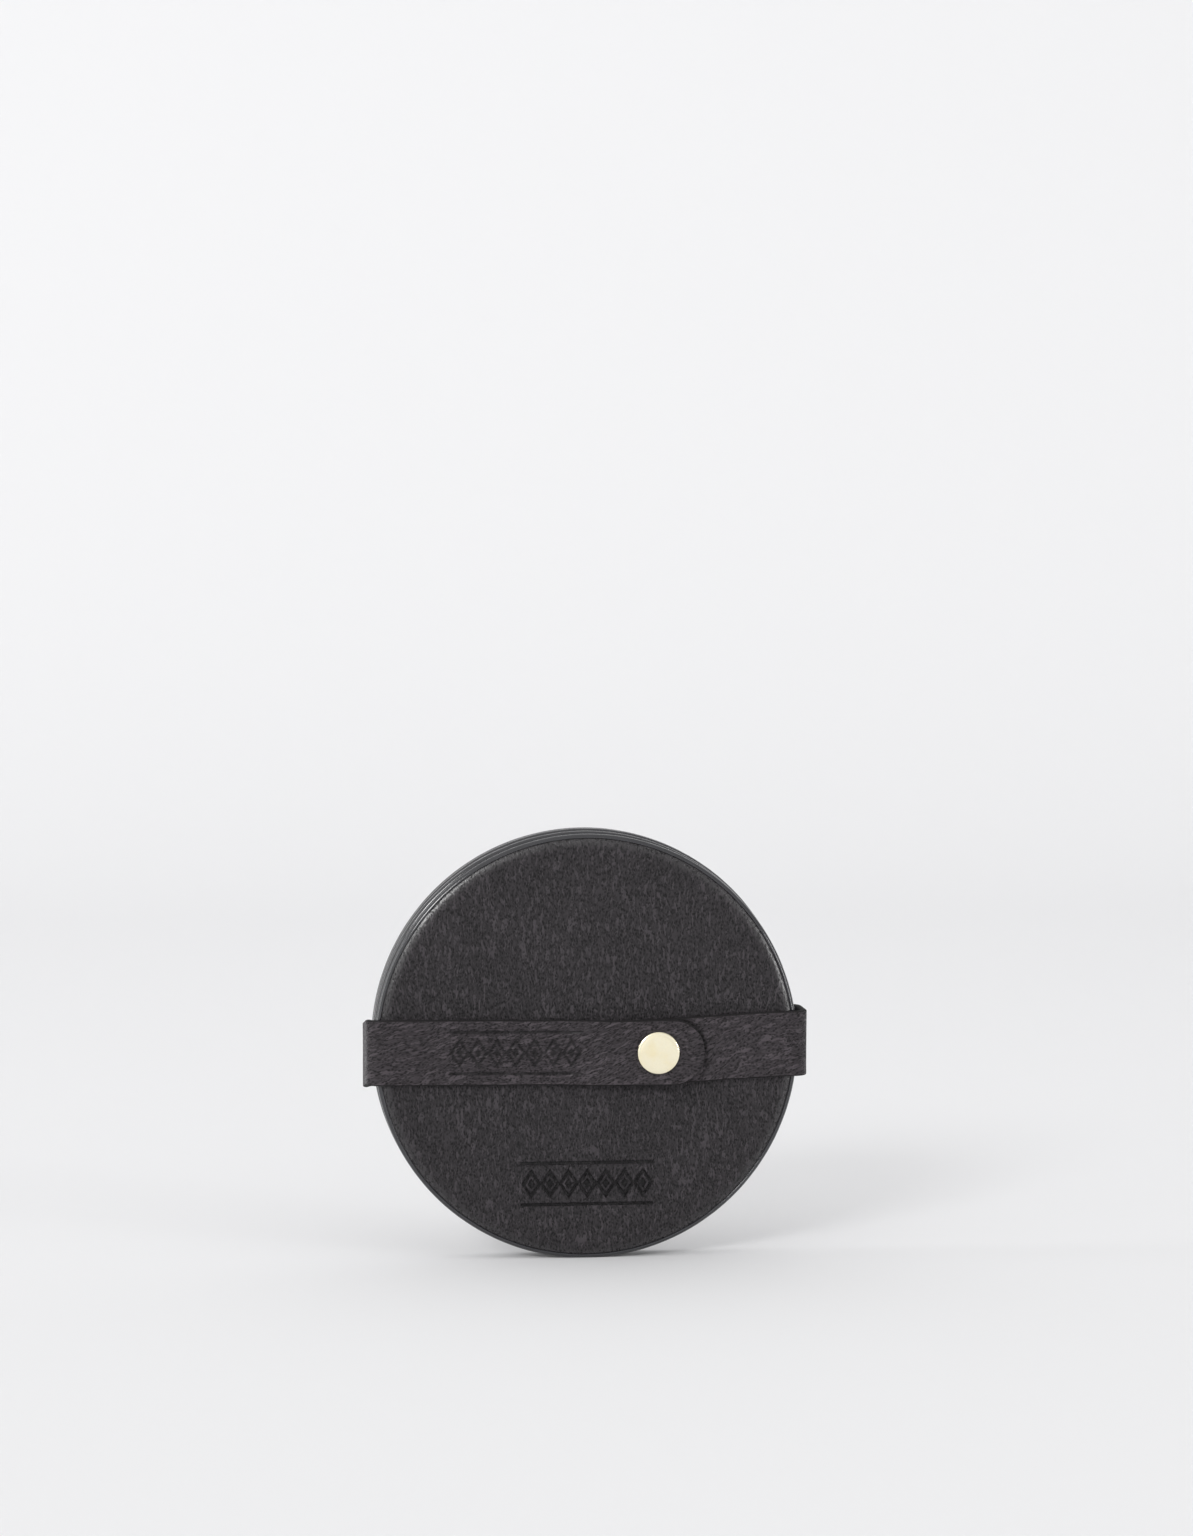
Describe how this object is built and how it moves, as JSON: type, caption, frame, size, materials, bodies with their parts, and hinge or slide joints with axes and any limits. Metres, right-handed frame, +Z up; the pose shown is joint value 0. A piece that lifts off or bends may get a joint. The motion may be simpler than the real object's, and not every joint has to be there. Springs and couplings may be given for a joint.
{
  "type": "strapped coaster set",
  "caption": "Set of round leather drinks coasters that stands on its rim, held by a leather strap that closes on the front with a brass press stud.",
  "frame": {"origin": "below the middle of the whole set, on the surface that the coasters' rims stand on", "axes": "+X to the right across the front, -Y out of the front face, +Z up"},
  "size_m": [0.1038, 0.0182, 0.0998],
  "materials": {
    "coaster_leather": "charcoal-black grained leather, soft sheen",
    "strap_leather": "charcoal-black grained leather, soft sheen, cut edges",
    "edge_paint": "glossy black cured edge paint",
    "brass": "pale polished brass",
    "spring_wire": "spring steel wire"
  },
  "bodies": {
    "coaster_4": {"coaster_4_front_leather": "coaster_leather", "coaster_4_back_leather": "coaster_leather", "coaster_4_painted_edge": "edge_paint"},
    "coaster_3": {"coaster_3_front_leather": "coaster_leather", "coaster_3_back_leather": "coaster_leather", "coaster_3_painted_edge": "edge_paint"},
    "coaster_2": {"coaster_2_front_leather": "coaster_leather", "coaster_2_back_leather": "coaster_leather", "coaster_2_painted_edge": "edge_paint"},
    "coaster_1": {"coaster_1_front_leather": "coaster_leather", "coaster_1_back_leather": "coaster_leather", "coaster_1_painted_edge": "edge_paint"},
    "strap": {"strap_back": "strap_leather"},
    "outer_end": {"strap_outer_end": "strap_leather", "snap_cap": "brass", "snap_socket": "brass", "snap_spring": "spring_wire"},
    "inner_end": {"strap_inner_end": "strap_leather", "snap_stud": "brass", "snap_post": "brass"}
  },
  "joints": [
    {"name": "coaster_1_lift", "type": "slide", "parent": "coaster_4", "child": "coaster_1", "axis": [0, 0, 1], "range_m": [0, 0.105]},
    {"name": "coaster_2_lift", "type": "slide", "parent": "coaster_4", "child": "coaster_2", "axis": [0, 0, 1], "range_m": [0, 0.105]},
    {"name": "coaster_3_lift", "type": "slide", "parent": "coaster_4", "child": "coaster_3", "axis": [0, 0, 1], "range_m": [0, 0.105]},
    {"name": "strap_slide", "type": "slide", "parent": "coaster_4", "child": "strap", "axis": [0, 0, 1], "range_m": [-0.03, 0.065]},
    {"name": "outer_end_fold", "type": "hinge", "parent": "strap", "child": "outer_end", "pos_m": [-0.0519, -0.00295, 0.04864], "axis": [0, 0, -1], "range_deg": [0, 120]},
    {"name": "inner_end_fold", "type": "hinge", "parent": "strap", "child": "inner_end", "pos_m": [0.0519, -0.00295, 0.04864], "axis": [0, 0, 1], "range_deg": [0, 90]}
  ],
  "couplings": [
    {"joint": "inner_end_fold", "follows": "outer_end_fold", "ratio": 0.75}
  ]
}
